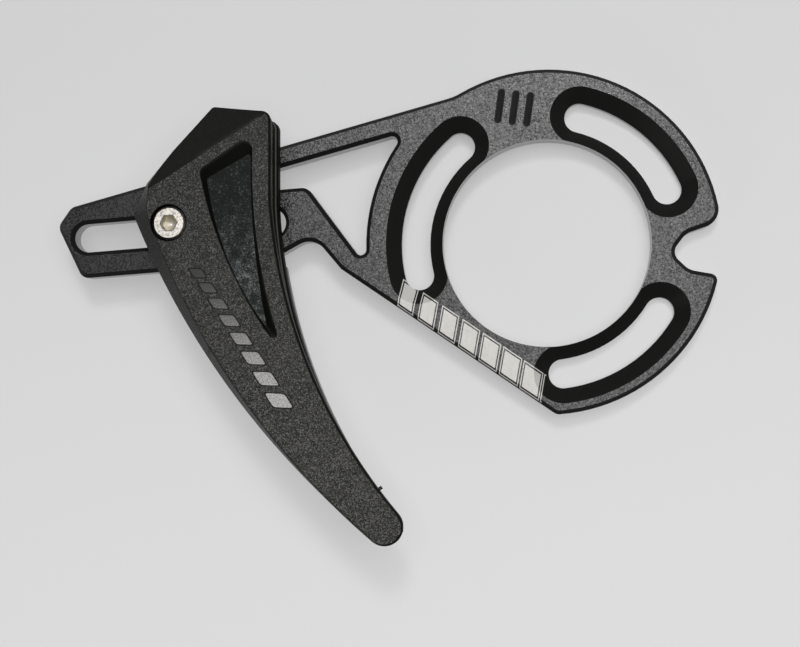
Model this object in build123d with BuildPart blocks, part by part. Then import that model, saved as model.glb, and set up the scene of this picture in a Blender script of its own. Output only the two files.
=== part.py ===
from build123d import *
import os
from math import acos, atan2, cos, degrees, radians, sin, tan

# Bicycle chain guide: a slotted back plate that bolts around the bottom bracket and carries a
# two-shell moulded guide, clamped through the plate's arm by one screw.
# Sizes are millimetres, angles are degrees. The bottom-bracket axis is Z through the origin, the
# plate's rear face is at Z = 0, its front faces +Z and the arm's clamp slot runs along X.

# Back plate, ring
plate_thickness = 4.5
edge_chamfer = 0.85
bolt_circle_radius = 28.0
bore_web = 2.8
ring_rim = 2.6
ring_centre = (-0.1, 0.4)
frame_slot_width = 6.2
frame_sink_width = 12.5
frame_sink_angle = 90.0
frame_slot_ends = [(19.8, 71.2), (126.7, 189.5), (273.0, 324.2)]
notch_y = -4.2
notch_depth = 10.9
notch_width = 7.7
notch_nose_angle = 48.9
notch_nose_round = 2.3
notch_flare_angle = 14.5
notch_shoulder_round = 4.0
notch_upper_round = 3.9
notch_lower_round = 1.5
lower_edge_drop = 7.85
lower_edge_angle = -38.3
lower_edge_round = 2.0

# Back plate, arm
clamp_slot_width = 6.2
clamp_slot_y = 9.26
clamp_slot_gap = 21.85
clamp_slot_run = 40.9
arm_top_drop = 1.1
arm_top_angle = 11.0
arm_top_round = 12.0
arm_lower_web = 5.6
arm_nose_web = 2.0
arm_nose_rise = 3.1
arm_shoulder_length = 3.5
arm_heel_length = 2.0
arm_end_round = 2.2
arch_reach = 8.9
arch_rise_share = 0.468
arch_left_angle = 25.0
arch_right_angle = -54.0
arch_round = 4.2
arch_foot_round = 2.5
strut_width = 4.45
window_rim = 4.35
window_floor_rise = 7.05
window_boss_reach = 8.3
window_foot_angle = 183.4
window_round = 1.2
window_boss_round = 2.6

# Guide, heights
flange_thickness = 3.2
channel_height = 6.7
front_wall = 3.8
bevel_height = 3.0
keel_depth = 2.0
keel_gap = 0.6
keel_round = 1.2

# Guide, plan: offsets from the clamp bolt's axis
edge_reach = 21.8
edge_rise = 2.64
edge_bow = 5.55
top_corner = (23.1, 21.2)
top_corner_round = 2.0
roof_corner = (9.85, 24.5)
roof_corner_round = 1.0
roof_start = (-4.8, 9.05)
roof_start_round = 1.5
heel = (-8.1, 2.6)
heel_round = 2.2
back_bow = 5.38
tail_tip = (40.4, -65.56)
tip_radius = 4.0
tail_angle = -49.5
tail_taper = 7.5
tip_thickness = 5.5
tip_ramp_length = 14.0

# Guide, left bevel and roof facet
heel_bevel = 3.6
roof_start_share = 0.28
tail_bevel = 0.1
wall_draft = 0.4
rim_round = 0.6
ridge_offset = (-3.4, 7.56)
ridge_angle = 27.9
roof_slope = 32.0
roof_wall = 2.0

# Guide, sunk panel on the outer shell
panel_upper_left = (7.15, 10.5)
panel_upper_right = (19.2, 17.5)
panel_tip = (20.4, -24.75)
panel_tip_radius = 0.9
panel_tip_angle = -69.4
panel_tip_taper = 7.7
panel_left_bow = 2.0
panel_right_bow = 1.95
panel_left_round = 1.5
panel_right_round = 2.0
panel_depth_top = 2.3
panel_depth_tip = 2.0
floor_left_step = (1.15, -1.6)
floor_right_step = (-1.3, -4.1)
floor_tip_step = (-1.8, 2.15)
floor_tip_radius = 0.2
floor_left_bow = 2.15
floor_right_bow = 1.0
floor_left_round = 0.3
floor_right_round = 0.5

# Guide, chain channel and inner shell
channel_reach = 10.8
channel_radius = 67.0
channel_sweep = 75.0
lead_in = 1.0
inner_setback = 0.5
inner_tail_setback = 2.6
inner_tail_short = 15.0
inner_tail_round = 3.5
core_wall = 1.6
core_floor = 2.0
rib_width = 1.4
rib_spacing = 13.0
rib_count = 3
key_length = 12.0
key_depth = 1.8
key_clearance = 0.15
nub_point = (39.4, -58.3)
nub_angle = 36.0
nub_radius = 0.36
nub_length = 1.2
nub_drop = 1.9
pin_radius = 1.6
pin_height = 2.5
pin_clearance = 0.1
pin_upper = (4.5, 7.6)
pin_lower = (4.8, -11.0)

# Clamp hardware
hex_sides = 6
bolt_diameter = 4.0
bolt_end_reach = 0.2
bolt_head_diameter = 7.0
bolt_head_height = 4.0
bolt_head_recess = 0.4
bolt_head_chamfer = 0.4
bolt_socket_flats = 3.0
bolt_socket_depth = 2.0
bolt_socket_chamfer = 0.2
bolt_socket_point = 0.8
bolt_end_chamfer = 0.4
bolt_hole_clearance = 0.15
head_clearance = 0.4
thread_clearance = 0.05
washer_diameter = 12.0
washer_thickness = 1.0
nut_flats = 7.0
nut_hex_height = 3.4
nut_corner_angle = 30.0
nut_height = 5.0
nut_collar_diameter = 6.3
nut_lip = 0.3
lock_ring_wall = 0.7
lock_ring_height = 1.1

# Sizes and places that follow from the ones above
bore_radius = bolt_circle_radius - frame_slot_width / 2 - bore_web
ring_radius = bolt_circle_radius + frame_sink_width / 2 + ring_rim
window_radius = bolt_circle_radius + frame_sink_width / 2 + window_rim
arm_top_offset = ring_radius - arm_top_drop
lower_edge_offset = ring_radius - lower_edge_drop
clamp_slot_inner_x = -ring_radius - clamp_slot_gap
clamp_slot_outer_x = clamp_slot_inner_x - clamp_slot_run
arm_nose_length = clamp_slot_width / 2 + 2 * edge_chamfer + arm_nose_web
bolt_x = -channel_radius - channel_reach
guide_base = plate_thickness
parting = guide_base + flange_thickness
channel_top = parting + channel_height
guide_top = channel_top + front_wall
bevel_base = guide_top - bevel_height
roof_start_bevel = heel_bevel * roof_start_share
keel_base = guide_base - keel_depth
head_seat = guide_top - bolt_head_recess - bolt_head_height
nut_top = -washer_thickness
nut_end = nut_top - nut_height
nut_bore_radius = bolt_diameter / 2 + thread_clearance
nut_corner_radius = nut_flats / 2 / cos(radians(180 / hex_sides))
nut_corner_drop = (nut_corner_radius - nut_flats / 2) * tan(radians(nut_corner_angle))
lock_ring_radius = nut_bore_radius + lock_ring_wall
lock_ring_top = nut_end + nut_lip + lock_ring_height
bolt_length = head_seat - nut_end + bolt_end_reach
far = 2 * (ring_radius - clamp_slot_outer_x)


def polar(radius, angle):
    """Plan point at a radius and an angle from the origin."""
    return (radius * cos(radians(angle)), radius * sin(radians(angle)))


def shifted(point, step):
    """Plan point moved by a step."""
    return (point[0] + step[0], point[1] + step[1])


def meet(point, angle, other, other_angle):
    """Plan point where two lines cross, each given by a point and a direction."""
    turn = sin(radians(other_angle - angle))
    gap_x = other[0] - point[0]
    gap_y = other[1] - point[1]
    reach = (gap_x * sin(radians(other_angle)) - gap_y * cos(radians(other_angle))) / turn
    return shifted(point, polar(reach, angle))


def ring_meet(reach, angle):
    """Turn from a direction to where the line square to it, at that reach, crosses the ring's outline."""
    beyond = reach - ring_centre[0] * cos(radians(angle)) - ring_centre[1] * sin(radians(angle))
    return degrees(acos(beyond / ring_radius))


def from_bolt(step):
    """Plan point given by its offset from the clamp bolt's axis."""
    return shifted((bolt_x, clamp_slot_y), step)


# Back plate: key points of the outline and the window
arm_bottom = clamp_slot_y - clamp_slot_width / 2 - arm_lower_web
arm_top_point = polar(arm_top_offset, arm_top_angle + 90)
lower_edge_point = polar(lower_edge_offset, lower_edge_angle - 90)
arm_ring_angle = arm_top_angle + 90 + ring_meet(arm_top_offset, arm_top_angle + 90)
lower_ring_angle = lower_edge_angle - 90 + ring_meet(lower_edge_offset, lower_edge_angle - 90)
arm_ring_corner = shifted(ring_centre, polar(ring_radius, arm_ring_angle))
lower_ring_corner = shifted(ring_centre, polar(ring_radius, lower_ring_angle))
arm_shoulder = meet(arm_top_point, arm_top_angle, (clamp_slot_outer_x - arm_shoulder_length, 0), 90)
arm_nose = (clamp_slot_outer_x - arm_nose_length, clamp_slot_y + arm_nose_rise)
arm_heel = (clamp_slot_outer_x - arm_heel_length, arm_bottom)
arch_x = clamp_slot_inner_x + arch_reach
arch_base_y = meet((arch_x, 0), 90, lower_edge_point, lower_edge_angle)[1]
arch_apex = (arch_x, arch_base_y + arch_rise_share * (clamp_slot_y - arch_base_y))
arch_left_foot = meet(arch_apex, arch_left_angle, (0, arm_bottom), 0)
arch_right_foot = meet(arch_apex, arch_right_angle, lower_edge_point, lower_edge_angle)

window_top_point = polar(arm_top_offset - strut_width, arm_top_angle + 90)
window_floor = clamp_slot_y + window_floor_rise
window_left = meet(window_top_point, arm_top_angle, (0, window_floor), 0)
window_boss = (clamp_slot_inner_x + window_boss_reach, window_floor)
window_top_angle = arm_top_angle + 90 + degrees(acos((arm_top_offset - strut_width) / window_radius))
window_foot = polar(window_radius, window_foot_angle)
window_top = polar(window_radius, window_top_angle)

notch_nose = (ring_radius - notch_depth, notch_y)
notch_run = notch_width / 2 / tan(radians(notch_nose_angle))
notch_upper = shifted(notch_nose, (notch_run, notch_width / 2))
notch_lower = shifted(notch_nose, (notch_run, -notch_width / 2))
sink_depth = (frame_sink_width - frame_slot_width) / 2 / tan(radians(frame_sink_angle / 2))

with BuildPart() as back_plate:
    with BuildSketch() as plate_outline:
        with BuildLine():
            CenterArc(ring_centre, ring_radius, lower_ring_angle, arm_ring_angle - lower_ring_angle)
            Polyline(arm_ring_corner, arm_shoulder, arm_nose, arm_heel, arch_left_foot, arch_apex,
                     arch_right_foot, lower_ring_corner)
        make_face()
        for corner, radius in (
            (arm_ring_corner, arm_top_round),
            (arm_shoulder, arm_end_round),
            (arm_nose, arm_end_round),
            (arm_heel, arm_end_round),
            (arch_left_foot, arch_foot_round),
            (arch_apex, arch_round),
            (arch_right_foot, arch_foot_round),
            (lower_ring_corner, lower_edge_round),
        ):
            fillet(plate_outline.vertices().sort_by_distance(corner)[0], radius)
        Polygon(notch_nose, notch_lower, meet(notch_lower, -notch_flare_angle, (far, 0), 90),
                meet(notch_upper, notch_flare_angle, (far, 0), 90), notch_upper,
                align=None, mode=Mode.SUBTRACT)
        for corner, radius in (
            (notch_nose, notch_nose_round),
            (notch_upper, notch_shoulder_round),
            (notch_lower, notch_shoulder_round),
            (meet(notch_upper, notch_flare_angle, (ring_radius, 0), 90), notch_upper_round),
            (meet(notch_lower, -notch_flare_angle, (ring_radius, 0), 90), notch_lower_round),
        ):
            fillet(plate_outline.vertices().sort_by_distance(corner)[0], radius)
        with BuildLine():
            CenterArc((0, 0), window_radius, window_top_angle, window_foot_angle - window_top_angle)
            Polyline(window_foot, window_boss, window_left, window_top)
        make_face(mode=Mode.SUBTRACT)
        for corner, radius in (
            (window_foot, window_round),
            (window_boss, window_boss_round),
            (window_left, window_round),
            (window_top, window_round),
        ):
            fillet(plate_outline.vertices().sort_by_distance(corner)[0], radius)
        with Locations(((clamp_slot_outer_x + clamp_slot_inner_x) / 2, clamp_slot_y)):
            SlotCenterToCenter(clamp_slot_inner_x - clamp_slot_outer_x, clamp_slot_width, mode=Mode.SUBTRACT)
    extrude(amount=plate_thickness)
    chamfer(back_plate.faces().sort_by(Axis.Z)[-1].edges(), edge_chamfer)
    with Locations((0, 0, plate_thickness)):
        Hole(bore_radius)
    for first, last in frame_slot_ends:
        across = Plane((0, 0, 0), x_dir=(*polar(1, first), 0), z_dir=(*polar(1, first - 90), 0))
        with BuildSketch(across):
            with BuildLine():
                inner = bolt_circle_radius - frame_slot_width / 2
                outer = bolt_circle_radius + frame_slot_width / 2
                sink_inner = bolt_circle_radius - frame_sink_width / 2
                sink_outer = bolt_circle_radius + frame_sink_width / 2
                sink_base = plate_thickness - sink_depth
                Polyline((inner, 0), (outer, 0), (outer, sink_base), (sink_outer, plate_thickness),
                         (sink_inner, plate_thickness), (inner, sink_base), close=True)
            make_face()
        revolve(axis=Axis.Z, revolution_arc=last - first, mode=Mode.SUBTRACT)
        with Locations([(*polar(bolt_circle_radius, end), plate_thickness) for end in (first, last)]):
            CounterSinkHole(frame_slot_width / 2, frame_sink_width / 2, counter_sink_angle=frame_sink_angle)


def tip_points(tip, reaches, angle, taper):
    """Left, end and right points of a round tip that looks along an angle, each at its own reach."""
    turns = (taper - 90, 0, 90 - taper)
    return [shifted(tip, polar(reach, angle + turn)) for reach, turn in zip(reaches, turns)]


def guide_outline(heel_inset=0.0, start_inset=0.0, tail_inset=0.0, setback=0.0, tail_setback=0.0):
    """Plan outline of the guide. The insets draw in its left edge and the setbacks its right edge."""
    reaches = (tip_radius - tail_inset, tip_radius - tail_setback / 2, tip_radius - tail_setback)
    tip_left, tip_end, tip_right = tip_points(from_bolt(tail_tip), reaches, tail_angle, tail_taper)
    edge_break = from_bolt((edge_reach - setback, edge_rise))
    corner = from_bolt((top_corner[0] - setback, top_corner[1]))
    start = from_bolt((roof_start[0] + start_inset, roof_start[1] - start_inset))
    back = from_bolt((heel[0] + heel_inset, heel[1]))
    with BuildSketch() as outline:
        with BuildLine():
            Polyline(edge_break, corner, from_bolt(roof_corner), start, back)
            SagittaArc(back, tip_left, -back_bow)
            ThreePointArc(tip_left, tip_end, tip_right)
            SagittaArc(tip_right, edge_break, edge_bow)
        make_face()
        for point, radius in (
            (corner, top_corner_round),
            (from_bolt(roof_corner), roof_corner_round),
            (start, roof_start_round),
            (back, heel_round),
        ):
            fillet(outline.vertices().sort_by_distance(point)[0], radius)
    return outline.sketch


def panel_outline(points, tip_round, bows, rounds):
    """Outline of the sunk panel or its floor: a straight top and two bowed sides down to a round tip."""
    upper_left, upper_right, tip = points
    reaches = (tip_round, tip_round, tip_round)
    tip_left, tip_end, tip_right = tip_points(tip, reaches, panel_tip_angle, panel_tip_taper)
    left_bow, right_bow = bows
    with BuildSketch() as outline:
        with BuildLine():
            Line(upper_left, upper_right)
            SagittaArc(upper_right, tip_right, -right_bow)
            ThreePointArc(tip_right, tip_end, tip_left)
            SagittaArc(tip_left, upper_left, left_bow)
        make_face()
        for corner, radius in zip((upper_left, upper_right), rounds):
            fillet(outline.vertices().sort_by_distance(corner)[0], radius)
    return outline.sketch


# Planes that cut the guide: roof facet, roof underside and tail ramp
ridge_point = from_bolt(ridge_offset)
ridge_along = (*polar(1, ridge_angle), 0)
roof_normal = (*polar(sin(radians(roof_slope)), ridge_angle + 90), cos(radians(roof_slope)))
roof_plane = Plane((*ridge_point, guide_top), x_dir=ridge_along, z_dir=roof_normal)
ceiling_height = guide_top - roof_wall / cos(radians(roof_slope))
ceiling_plane = Plane((*ridge_point, ceiling_height), x_dir=ridge_along, z_dir=roof_normal)
tip_base = guide_top - tip_thickness
ramp_angle = degrees(atan2(tip_base - parting, tip_ramp_length))
tip_point = shifted(from_bolt(tail_tip), polar(tip_radius, tail_angle))
ramp_normal = (*polar(sin(radians(ramp_angle)), tail_angle + 180), cos(radians(ramp_angle)))
ramp_plane = Plane((*tip_point, tip_base), x_dir=(*polar(1, tail_angle + 90), 0), z_dir=ramp_normal)

# Space that the chain runs through: a tangent run above and an arc about the chainring's axis
channel_x = bolt_x + channel_reach
chain_axis = (channel_x + channel_radius, 0)
channel_end = shifted(chain_axis, polar(channel_radius, 180 + channel_sweep))
channel_head = clamp_slot_y + 2 * roof_corner[1]

with BuildPart() as chain_channel:
    with BuildSketch(Plane.XY.offset(parting)):
        with BuildLine():
            Line((channel_x, channel_head), (channel_x, chain_axis[1]))
            CenterArc(chain_axis, channel_radius, 180, channel_sweep)
            Polyline(channel_end, (chain_axis[0], channel_end[1]), (chain_axis[0], channel_head),
                     (channel_x, channel_head))
        make_face()
    extrude(amount=channel_height)
    split(bisect_by=ceiling_plane, keep=Keep.BOTTOM)

pin_points = [from_bolt(pin_upper), from_bolt(pin_lower)]
bolt_axis = (bolt_x, clamp_slot_y)
bolt_hole_radius = bolt_diameter / 2 + bolt_hole_clearance
panel_points = [from_bolt(point) for point in (panel_upper_left, panel_upper_right, panel_tip)]
floor_steps = (floor_left_step, floor_right_step, floor_tip_step)
floor_points = [shifted(point, step) for point, step in zip(panel_points, floor_steps)]
panel_run = panel_upper_right[1] - panel_tip[1]
panel_tilt = degrees(atan2(panel_depth_top - panel_depth_tip, panel_run))
panel_tip_y = clamp_slot_y + panel_tip[1]
panel_floor_height = guide_top - panel_depth_tip + panel_tip_y * tan(radians(panel_tilt))
panel_floor = Plane((0, 0, panel_floor_height), x_dir=(1, 0, 0),
                    z_dir=(0, sin(radians(panel_tilt)), cos(radians(panel_tilt))))

with BuildPart() as outer_guide_shell:
    with BuildSketch(Plane.XY.offset(parting)):
        add(guide_outline(setback=wall_draft, tail_setback=wall_draft))
    extrude(amount=bevel_base - parting)
    with BuildSketch(Plane.XY.offset(bevel_base)):
        add(guide_outline(setback=wall_draft, tail_setback=wall_draft))
    with BuildSketch(Plane.XY.offset(guide_top)):
        add(guide_outline(heel_bevel, roof_start_bevel, tail_bevel))
    loft(ruled=True)
    fillet(outer_guide_shell.faces().sort_by(Axis.Z)[-1].edges(), rim_round)
    split(bisect_by=roof_plane, keep=Keep.BOTTOM)
    nub_plane = Plane((*from_bolt(nub_point), guide_top - nub_drop), z_dir=(*polar(1, nub_angle), 0))
    with BuildSketch(nub_plane):
        Circle(nub_radius)
    extrude(amount=nub_length)
    add(chain_channel.part, mode=Mode.SUBTRACT)
    split(bisect_by=ramp_plane, keep=Keep.TOP)
    with BuildSketch(Plane.XY.offset(guide_top)):
        add(panel_outline(panel_points, panel_tip_radius, (panel_left_bow, panel_right_bow),
                          (panel_left_round, panel_right_round)))
    with BuildSketch(panel_floor):
        add(panel_outline(floor_points, floor_tip_radius, (floor_left_bow, floor_right_bow),
                          (floor_left_round, floor_right_round)))
    loft(ruled=True, mode=Mode.SUBTRACT)
    with Locations((*bolt_axis, guide_top)):
        CounterBoreHole(bolt_hole_radius, bolt_head_diameter / 2 + head_clearance, guide_top - head_seat)
    with Locations([(*point, parting) for point in pin_points]):
        Cylinder(pin_radius + pin_clearance, pin_height + pin_clearance,
                 align=(Align.CENTER, Align.CENTER, Align.MIN), mode=Mode.SUBTRACT)

# Inner shell: a flange under the whole guide and a keel, its deeper part below the arm's lower edge
inner_end = shifted(from_bolt(tail_tip), polar(inner_tail_short, tail_angle + 180))
tail_axis = Axis((0, 0, 0), (*polar(1, tail_angle), 0))
keel_top_y = arm_bottom - keel_gap
keel_corner = from_bolt((edge_reach - inner_setback, keel_top_y - clamp_slot_y))
rib_points = [shifted(inner_end, polar(-step * rib_spacing, tail_angle)) for step in range(1, rib_count + 1)]


def inner_outline(inset=0.0):
    """Plan outline of the inner shell: the guide's, its right edge drawn in and its tail cut short."""
    with BuildSketch() as outline:
        add(guide_outline(setback=inner_setback + inset, tail_setback=inner_tail_setback + inset))
        with Locations(Location((*inner_end, 0), (0, 0, tail_angle))):
            Rectangle(far, far, align=(Align.MAX, Align.CENTER), mode=Mode.INTERSECT)
        fillet(outline.vertices().sort_by(tail_axis)[-2:], inner_tail_round)
    return outline.sketch


def keel_outline():
    """Plan outline of the keel: the inner shell's, up to a straight top edge."""
    with BuildSketch() as outline:
        add(inner_outline())
        with Locations((bolt_x, keel_top_y)):
            Rectangle(far, far, align=(Align.CENTER, Align.MAX), mode=Mode.INTERSECT)
        fillet(outline.vertices().sort_by_distance(keel_corner)[0], keel_round)
    return outline.sketch


with BuildPart() as inner_guide_shell:
    with BuildSketch(Plane.XY.offset(keel_base)):
        add(keel_outline())
    extrude(amount=keel_depth)
    with BuildSketch(Plane.XY.offset(guide_base)):
        add(inner_outline())
    extrude(amount=flange_thickness - lead_in)
    with BuildSketch(Plane.XY.offset(parting - lead_in)):
        add(inner_outline())
    with BuildSketch(Plane.XY.offset(parting)):
        add(inner_outline(lead_in))
    loft(ruled=True)
    with BuildSketch(Plane.XY.offset(keel_base)):
        add(keel_outline())
        offset(amount=-core_wall)
        with Locations([Location((*point, 0), (0, 0, tail_angle)) for point in rib_points]):
            Rectangle(rib_width, far, mode=Mode.SUBTRACT)
    extrude(amount=keel_depth + flange_thickness - core_floor, mode=Mode.SUBTRACT)
    with BuildSketch(Plane.XY.offset(guide_base)):
        with Locations(bolt_axis):
            SlotOverall(key_length, clamp_slot_width - 2 * key_clearance)
    extrude(amount=-key_depth)
    with Locations((*bolt_axis, parting)):
        Hole(bolt_hole_radius)
    with Locations([(*point, parting) for point in pin_points]):
        Cylinder(pin_radius, pin_height, align=(Align.CENTER, Align.CENTER, Align.MIN))

with BuildPart() as clamp_bolt:
    with BuildSketch(Plane.XY.offset(head_seat)):
        with Locations(bolt_axis):
            Circle(bolt_diameter / 2)
    extrude(amount=-bolt_length)
    chamfer(clamp_bolt.faces().sort_by(Axis.Z)[0].edges(), bolt_end_chamfer)
    with BuildSketch(Plane.XY.offset(head_seat)):
        with Locations(bolt_axis):
            Circle(bolt_head_diameter / 2)
    extrude(amount=bolt_head_height)
    chamfer(clamp_bolt.faces().sort_by(Axis.Z)[-1].edges(), bolt_head_chamfer)
    with BuildSketch(Plane.XY.offset(head_seat + bolt_head_height)):
        with Locations(bolt_axis):
            RegularPolygon(bolt_socket_flats / 2, hex_sides, major_radius=False)
    extrude(amount=-bolt_socket_depth, mode=Mode.SUBTRACT)
    chamfer(clamp_bolt.faces().sort_by(Axis.Z)[-1].inner_wires()[0].edges(), bolt_socket_chamfer)
    with Locations((*bolt_axis, head_seat + bolt_head_height - bolt_socket_depth)):
        Cone(0, bolt_socket_flats / 2, bolt_socket_point, align=(Align.CENTER, Align.CENTER, Align.MAX),
             mode=Mode.SUBTRACT)

with BuildPart() as clamp_washer:
    with BuildSketch():
        with Locations(bolt_axis):
            Circle(washer_diameter / 2)
            Circle(bolt_hole_radius, mode=Mode.SUBTRACT)
    extrude(amount=-washer_thickness)

with BuildPart() as clamp_nut:
    with BuildSketch(Plane.XY.offset(nut_top)):
        with Locations(bolt_axis):
            RegularPolygon(nut_flats / 2, hex_sides, major_radius=False)
    extrude(amount=-nut_hex_height)
    with BuildSketch(Plane((*bolt_axis, nut_top), x_dir=(1, 0, 0), z_dir=(0, 1, 0))):
        with BuildLine():
            Polyline((0, 0), (nut_corner_radius, 0), (nut_corner_radius, nut_hex_height - nut_corner_drop),
                     (nut_flats / 2, nut_hex_height), (0, nut_hex_height), close=True)
        make_face()
    revolve(axis=Axis((*bolt_axis, 0), (0, 0, 1)), mode=Mode.INTERSECT)
    with BuildSketch(Plane.XY.offset(nut_top)):
        with Locations(bolt_axis):
            Circle(nut_collar_diameter / 2)
    extrude(amount=-nut_height)
    with Locations((*bolt_axis, nut_top)):
        Hole(nut_bore_radius)
    with BuildSketch(Plane.XY.offset(lock_ring_top)):
        with Locations(bolt_axis):
            Circle(lock_ring_radius)
    extrude(amount=-lock_ring_height, mode=Mode.SUBTRACT)

with BuildPart() as nut_lock_ring:
    with BuildSketch(Plane.XY.offset(lock_ring_top)):
        with Locations(bolt_axis):
            Circle(lock_ring_radius)
            Circle(nut_bore_radius, mode=Mode.SUBTRACT)
    extrude(amount=-lock_ring_height)

os.makedirs("parts", exist_ok=True)
for name, piece in (
    ("back_plate", back_plate),
    ("outer_guide_shell", outer_guide_shell),
    ("inner_guide_shell", inner_guide_shell),
    ("clamp_bolt", clamp_bolt),
    ("clamp_washer", clamp_washer),
    ("clamp_nut", clamp_nut),
    ("nut_lock_ring", nut_lock_ring),
):
    piece.part.label = name
    export_step(piece.part, f"parts/{name}.step")
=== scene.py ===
from math import radians, tan

import bpy
import numpy as np
from bpy.props import FloatProperty, FloatVectorProperty, IntProperty, PointerProperty
from mathutils import Euler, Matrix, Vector


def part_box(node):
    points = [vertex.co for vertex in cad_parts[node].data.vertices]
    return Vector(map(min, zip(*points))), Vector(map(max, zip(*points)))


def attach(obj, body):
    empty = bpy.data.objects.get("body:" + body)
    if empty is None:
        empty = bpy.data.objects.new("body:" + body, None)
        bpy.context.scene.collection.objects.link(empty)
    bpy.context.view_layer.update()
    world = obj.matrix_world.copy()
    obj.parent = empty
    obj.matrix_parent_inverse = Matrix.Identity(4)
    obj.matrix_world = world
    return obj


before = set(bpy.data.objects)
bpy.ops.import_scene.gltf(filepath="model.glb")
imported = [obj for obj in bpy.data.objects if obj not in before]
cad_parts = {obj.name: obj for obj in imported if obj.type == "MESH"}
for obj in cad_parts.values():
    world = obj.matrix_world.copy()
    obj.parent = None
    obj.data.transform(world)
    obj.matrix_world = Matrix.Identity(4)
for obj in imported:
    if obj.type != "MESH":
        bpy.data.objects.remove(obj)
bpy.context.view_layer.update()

bl_info = {
    "name": "Bicycle Chain Guide",
    "version": (1, 0, 0),
    "blender": (4, 5, 0),
    "location": "3D View > Sidebar > Chain Guide",
    "description": "Finishes, marks and studio stage for a slotted chain guide plate and its moulded guide",
    "category": "Object",
}

MM = 0.001
PLATE_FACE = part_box("back_plate")[1].z
GUIDE_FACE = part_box("outer_guide_shell")[1].z
BOLT_LOW, BOLT_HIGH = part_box("clamp_bolt")
BOLT_AXIS = (BOLT_LOW + BOLT_HIGH) / 2
RING_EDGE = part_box("back_plate")[1].x


class Signal:
    """One output socket of a node tree. Arithmetic on it adds Math nodes to that tree."""

    def __init__(self, tree, socket):
        self.tree = tree
        self.socket = socket

    def node(self, kind, settings=None, sockets=None, out=0):
        """Adds a node: its settings first, then the values or links of its sockets."""
        made = self.tree.nodes.new(kind)
        for name, value in (settings or {}).items():
            setattr(made, name, value)
        for key, value in (sockets or {}).items():
            if isinstance(value, Signal):
                self.tree.links.new(value.socket, made.inputs[key])
            else:
                made.inputs[key].default_value = value
        return None if out is None else Signal(self.tree, made.outputs[out])

    def output(self, name):
        """Another output of the same node."""
        return Signal(self.tree, self.socket.node.outputs[name])

    def math(self, operation, *values):
        return self.node("ShaderNodeMath", {"operation": operation}, dict(enumerate(values)))

    def __add__(self, other):
        return self.math("ADD", self, other)

    def __radd__(self, other):
        return self.math("ADD", other, self)

    def __sub__(self, other):
        return self.math("SUBTRACT", self, other)

    def __rsub__(self, other):
        return self.math("SUBTRACT", other, self)

    def __mul__(self, other):
        return self.math("MULTIPLY", self, other)

    def __rmul__(self, other):
        return self.math("MULTIPLY", other, self)

    def __truediv__(self, other):
        return self.math("DIVIDE", self, other)

    def __abs__(self):
        return self.math("ABSOLUTE", self)

    def root(self):
        return self.math("SQRT", self)

    def at_least(self, other):
        return self.math("MAXIMUM", self, other)

    def at_most(self, other):
        return self.math("MINIMUM", self, other)

    def fold(self, pitch):
        """Distance to the nearest whole multiple of pitch, with its sign."""
        return (self.math("FRACT", self / pitch + 0.5) - 0.5) * pitch

    def step(self, low, high):
        """0 at low and 1 at high, eased between them; low may be the larger."""
        if low > high:
            return 1 - self.step(high, low)
        return self.node("ShaderNodeMapRange", {"interpolation_type": "SMOOTHSTEP"},
                         {"Value": self, "From Min": low, "From Max": high})

    def below(self, edge, blur):
        """1 under an edge and 0 over it, eased across blur either side."""
        return self.step(edge + blur, edge - blur)

    def between(self, low, high):
        """low where this signal is 0 and high where it is 1."""
        return self * (high - low) + low

    def swing(self, reach):
        """A signal from 0 to 1 made to swing evenly about 0, over reach in all."""
        return (self - 0.5) * reach

    def mix(self, first, second):
        """Colour first where this signal is 0 and second where it is 1."""
        return self.node("ShaderNodeMix", {"data_type": "RGBA"}, {0: self, 6: first, 7: second}, out=2)


def new_finish(name):
    """An empty material and a signal of its Object coordinates."""
    material = bpy.data.materials.new(name)
    material.use_nodes = True
    tree = material.node_tree
    tree.nodes.clear()
    start = Signal(tree, tree.nodes.new("ShaderNodeTexCoord").outputs["Object"])
    return material, start


def surface(start, **sockets):
    """A Principled surface that takes these sockets, underscores standing for spaces."""
    named = {key.replace("_", " "): value for key, value in sockets.items()}
    return start.node("ShaderNodeBsdfPrincipled", None, named)


def shade(start, first, second=None, share=0.0):
    """Ends a material with one surface, or with two and the second's share of them."""
    if second is not None:
        first = start.node("ShaderNodeMixShader", None, {0: share, 1: first, 2: second})
    start.node("ShaderNodeOutputMaterial", None, {"Surface": first}, out=None)


def rgb(colour, level=1.0):
    """A socket's value for a colour, at a level of its brightness."""
    return (*(level * part for part in colour), 1.0)


def local_mm(start, centre=(0.0, 0.0, 0.0), turn=0.0):
    """Object coordinates in millimetres, centred on a point in metres and turned about Z."""
    sockets = {"Vector": start, "Location": centre, "Rotation": (0.0, 0.0, turn), "Scale": (MM, MM, MM)}
    return start.node("ShaderNodeMapping", {"vector_type": "TEXTURE"}, sockets)


def split_xyz(vector):
    """The three parts of a vector."""
    parts = vector.node("ShaderNodeSeparateXYZ", None, {0: vector})
    return parts.output("X"), parts.output("Y"), parts.output("Z")


def grain(points, size, detail, roughness=0.5):
    """Noise from 0 to 1 with features of about that size in millimetres."""
    return points.node("ShaderNodeTexNoise", None,
                       {"Vector": points, "Scale": 1.0 / size, "Detail": detail, "Roughness": roughness})


def flecks(points, size):
    """A random value from 0 to 1 for each cell of that size in millimetres."""
    cells = points.node("ShaderNodeTexVoronoi", None, {"Vector": points, "Scale": 1.0 / size}, out="Color")
    return cells.node("ShaderNodeSeparateColor", None, {0: cells})


def facing(start):
    """How far a face looks along X, Y and Z, each from -1 to 1."""
    return split_xyz(start.node("ShaderNodeNewGeometry", None, None, out="True Normal"))


def bump(start, height, depth, strength):
    """Normal of a height field from 0 to 1 that is depth metres tall."""
    sockets = {"Height": height, "Distance": depth, "Strength": strength}
    return start.node("ShaderNodeBump", None, sockets, out="Normal")


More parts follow.
